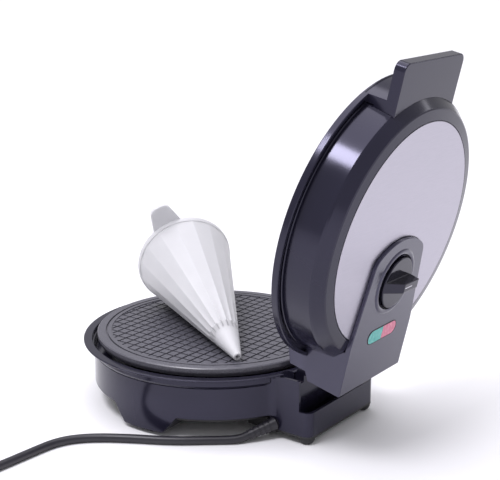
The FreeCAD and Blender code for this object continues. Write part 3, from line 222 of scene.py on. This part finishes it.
def lens_plastic(name, deep, pale):
    """Frosted translucent lens, paler in the middle of the noise so that it looks lit through."""
    material, tree, shader = new_material(name)
    colour = ramp(tree, noise(tree, 260.0, 3.0).outputs["Fac"], [(0.3, deep), (0.75, pale)])
    tree.links.new(colour.outputs["Color"], shader.inputs["Base Color"])
    frost = spread(tree, noise(tree, 500.0).outputs["Fac"], 0.2, 0.32)
    tree.links.new(frost, shader.inputs["Roughness"])
    shader.inputs["Subsurface Weight"].default_value = 0.3
    shader.inputs["Subsurface Radius"].default_value = (0.002, 0.002, 0.002)
    bump(tree, shader, noise(tree, 1200.0, 2.0).outputs["Fac"], 0.1, 0.0002, 0.0002)
    return material


def roller_plastic():
    """Milky food-grade plastic that lets some light through."""
    material, tree, shader = new_material("roller_plastic")
    drift = noise(tree, 22.0, 5.0)
    colour = ramp(tree, drift.outputs["Fac"], [(0.3, (0.6, 0.6, 0.615)), (0.7, (0.66, 0.66, 0.675))])
    tree.links.new(colour.outputs["Color"], shader.inputs["Base Color"])
    gloss = spread(tree, noise(tree, 140.0, 5.0).outputs["Fac"], 0.34, 0.46)
    tree.links.new(gloss, shader.inputs["Roughness"])
    shader.inputs["Subsurface Weight"].default_value = 0.4
    shader.inputs["Subsurface Radius"].default_value = (0.008, 0.008, 0.008)
    shader.inputs["Subsurface Scale"].default_value = 1.0
    bump(tree, shader, noise(tree, 700.0, 2.0).outputs["Fac"], 0.05, 0.0003, 0.0008)
    return material


def clear_glass(name):
    """Slightly warm lamp glass."""
    material, tree, shader = new_material(name)
    shader.inputs["Transmission Weight"].default_value = 0.9
    tint = ramp(tree, noise(tree, 80.0).outputs["Fac"],
                [(0.3, (0.85, 0.82, 0.75)), (0.7, (0.95, 0.92, 0.86))])
    tree.links.new(tint.outputs["Color"], shader.inputs["Base Color"])
    shader.inputs["Roughness"].default_value = 0.08
    return material


plate_coat = non_stick()
lens_green = lens_plastic("lens_green", (0.045, 0.38, 0.34), (0.12, 0.5, 0.46))
lens_red = lens_plastic("lens_red", (0.62, 0.13, 0.24), (0.7, 0.24, 0.34))
roller_white = roller_plastic()
lamp_glass = clear_glass("lamp_glass")

by_node = {
    shell_black: ["base_shell", "lid_ring", "lid_shell", "handle"],
    arm_black: ["hinge_arm"],
    inner_black: ["base_cover", "cord_clamp"],
    knob_black: ["control_knob"],
    rubber: ["rear_foot_right", "rear_foot_left", "foot_pad_right", "foot_pad_left", "foot_pad_front"],
    cord_black: ["cord_strain_relief", "cord_inner_end", "plug_body"],
    tie_grey: ["cord_tie"],
    nylon: ["terminal_block", "lamp_holder", "thermostat_body", "hinge_bush_right", "hinge_bush_left"],
    mark_white: ["knob_pointer"],
    stainless: ["stainless_top_panel"],
    bright_steel: ["hinge_pin", "thermostat_shaft", "thermal_fuse", "lower_plate_screws",
                   "upper_plate_screws", "base_cover_screws", "handle_screws", "arm_screws"],
    element_steel: ["lower_heating_element", "upper_heating_element"],
    aluminium: ["lower_heat_reflector", "upper_heat_reflector"],
    brass: ["plug_blades", "terminal_screws"],
    plate_coat: ["lower_plate", "upper_plate"],
    lens_green: ["lens_green"],
    lens_red: ["lens_red"],
    lamp_glass: ["lamp_green", "lamp_red"],
    roller_white: ["roller_cone", "roller_nose", "roller_cap"],
}
for material, names in by_node.items():
    for name in names:
        nodes[name].data.materials.clear()
        nodes[name].data.materials.append(material)

# ---- mains lead: strain relief, run over the table, tied coil, tail to the plug ----
CORD_D = 6.4
CORD_Z = TABLE + CORD_D / 2
cord_exit = (45.8, 91.0, 7.9)
relief_direction, relief_length = Vector((1.0, -0.62, -0.33)).normalized(), 22.0
cord_run = [(71.1, 75.3), (82.5, 61.0), (101.5, 37.5), (118.5, 6.0), (134.0, -16.5), (152.0, -29.5),
            (179.0, -31.5), (205.0, -33.0), (223.0, -35.5)]
coil_centre = (241.0, -75.5)
COIL_OUTER, COIL_INNER = 38.2, 31.8
COIL_TURNS, POINTS_PER_TURN = 2.0 + 5.0 / 12.0, 24
STEP_IN = (0.78, 0.98)  # part of the first turn over which the lead moves inside it
CLIMB = (1.42, 1.74)  # part of the second turn over which the lead climbs into the valley
CLIMB_SWING = 59.3  # degrees it swings over the outer turn while it climbs
CROSSING_UP, CROSSING_DOWN, CROSSING_LIFT = (1.62, 1.8), (1.98, 2.12), 1.1
cord_tail = [(243.0, -114.6, 4.8), (226.0, -119.3, 4.2), (209.0, -120.8, 3.9)]


def ease(value, start, end):
    """Smooth step from 0 at start to 1 at end."""
    t = min(max((value - start) / (end - start), 0.0), 1.0)
    return t * t * (3 - 2 * t)


def coil_point(turn):
    """Two turns side by side on the table, then a third that lies in the valley between them."""
    radius = COIL_OUTER - (COIL_OUTER - COIL_INNER) * ease(turn, *STEP_IN)
    height = CORD_Z
    climb = ease(turn, *CLIMB)
    if climb:
        swing = math.radians(180 - CLIMB_SWING * climb)
        radius = COIL_OUTER + CORD_D * math.cos(swing)
        height = CORD_Z + CORD_D * math.sin(swing)
        height += CROSSING_LIFT * (ease(turn, *CROSSING_UP) - ease(turn, *CROSSING_DOWN))
    radius /= math.cos(math.pi / POINTS_PER_TURN)
    angle = math.radians(90 - 360 * turn)
    return (coil_centre[0] + radius * math.cos(angle), coil_centre[1] + radius * math.sin(angle), height)


relief_end = Vector(cord_exit) + relief_direction * relief_length
route = [cord_exit, tuple(relief_end)] + [(x, y, CORD_Z) for x, y in cord_run]
coil_steps = int(round(COIL_TURNS * POINTS_PER_TURN))
route += [coil_point(step / POINTS_PER_TURN) for step in range(coil_steps + 1)]
route += cord_tail
curve = bpy.data.curves.new("mains_lead", "CURVE")
curve.dimensions = "3D"
spline = curve.splines.new("NURBS")
spline.points.add(len(route) - 1)
for point, place_mm in zip(spline.points, route):
    point.co = (*at(*place_mm), 1.0)
spline.order_u = 3
spline.use_endpoint_u = True
spline.resolution_u = 10
curve.bevel_depth = CORD_D / 2 * MM
curve.bevel_resolution = 6
curve.use_fill_caps = True
curve.materials.append(cord_black)
mains_lead = add_object("mains_lead", curve)
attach(mains_lead, "base")
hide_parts("power_cord", "cord_coil", "cord_tail")


# ---- smooth shading of the carried-over nodes, with their real edges kept sharp ----
SHARP_ANGLE = math.radians(24)
for node in nodes.values():
    for polygon in node.data.polygons:
        polygon.use_smooth = True
    node.data.set_sharp_from_angle(angle=SHARP_ANGLE)


# ---- lens surround ----
def stadium_points(half, radius, count=12):
    """Points round a slot shape: two half circles, each with count steps."""
    points = []
    for side in (1, -1):
        for i in range(count + 1):
            a = math.radians(-90 * side + 180 * i / count)
            points.append((side * (half - radius) + radius * math.cos(a), radius * math.sin(a)))
    return points


def loop_curve(name, points, bevel, material, body):
    """Closed thin bead through points already in the row frame."""
    data = bpy.data.curves.new(name, "CURVE")
    data.dimensions = "3D"
    bead = data.splines.new("POLY")
    bead.points.add(len(points) - 1)
    for p, co in zip(bead.points, points):
        p.co = (*co, 1.0)
    bead.use_cyclic_u = True
    data.bevel_depth = bevel
    data.bevel_resolution = 3
    data.materials.append(material)
    obj = add_object(name, data)
    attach(obj, body)


LENS_Y, LENS_HALF, LENS_RADIUS = 77.3, 19.75, 5.45
ARM_TOP, BEAD_LIFT, BEAD_RADIUS = 91.9, 0.05, 0.00035
outline = [on_lid(x, LENS_Y + y, ARM_TOP + BEAD_LIFT) for x, y in stadium_points(LENS_HALF, LENS_RADIUS)]
loop_curve("lens_surround", outline, BEAD_RADIUS, inner_black, "lid")

# ---- floor and light ----
floor_material, floor_tree, floor_shader = new_material("floor")
floor_colour = ramp(floor_tree, noise(floor_tree, 3.0).outputs["Fac"],
                    [(0.3, (0.92, 0.92, 0.925)), (0.7, (0.93, 0.93, 0.935))])
floor_tree.links.new(floor_colour.outputs["Color"], floor_shader.inputs["Base Color"])
floor_shader.inputs["Roughness"].default_value = 0.9
FLOOR_REACH = 14.0
floor_mesh = bpy.data.meshes.new("floor")
floor_corners = [(x * FLOOR_REACH, y * FLOOR_REACH, TABLE_Z) for x, y in ((-1, -1), (1, -1), (1, 1), (-1, 1))]
floor_mesh.from_pydata(floor_corners, [], [(0, 1, 2, 3)])
floor_mesh.materials.append(floor_material)
floor = add_object("floor", floor_mesh)

world = bpy.data.worlds.new("studio")
bpy.context.scene.world = world
world.use_nodes = True
background = world.node_tree.nodes["Background"]
background.inputs["Color"].default_value = (0.97, 0.96, 1.0, 1.0)
background.inputs["Strength"].default_value = 0.55


def soft_box(name, azimuth, elevation, distance, size, power, aim, colour):
    """Square soft light that looks at a design point; distance and size in metres."""
    data = bpy.data.lights.new(name, "AREA")
    data.shape = "SQUARE"
    data.size = size
    data.energy = power
    data.color = colour
    lamp = add_object(name, data)
    offset = direction(azimuth, elevation) * distance
    lamp.location = at(*aim) + offset
    lamp.rotation_euler = (-offset).to_track_quat("-Z", "Y").to_euler()


# key and lip give the highlights on the open lid's side wall and on its ring; edge comes from behind
LID_WALL, MIDDLE = (90, 131, 246), (0, 20, 90)
COOL, WHITE = (0.95, 0.94, 1.0), (1, 1, 1)
soft_box("key", azimuth=80, elevation=61, distance=1.6, size=0.36, power=10.0, aim=LID_WALL, colour=COOL)
soft_box("lip", azimuth=55.3, elevation=55.7, distance=1.6, size=0.25, power=2.4, aim=LID_WALL, colour=COOL)
soft_box("edge", azimuth=-125, elevation=25, distance=1.5, size=0.3, power=0.9, aim=MIDDLE, colour=WHITE)

# a very wide sun stands in for a bright ceiling
DOME_WIDTH, DOME_TILT = math.radians(70), math.radians(12)
dome_data = bpy.data.lights.new("dome", "SUN")
dome_data.energy = 2.1
dome_data.color = (0.95, 0.93, 1.0)
dome_data.angle = DOME_WIDTH
dome = add_object("dome", dome_data)
dome.rotation_euler = (DOME_TILT, 0, 0)
bpy.context.scene.view_settings.view_transform = "Standard"
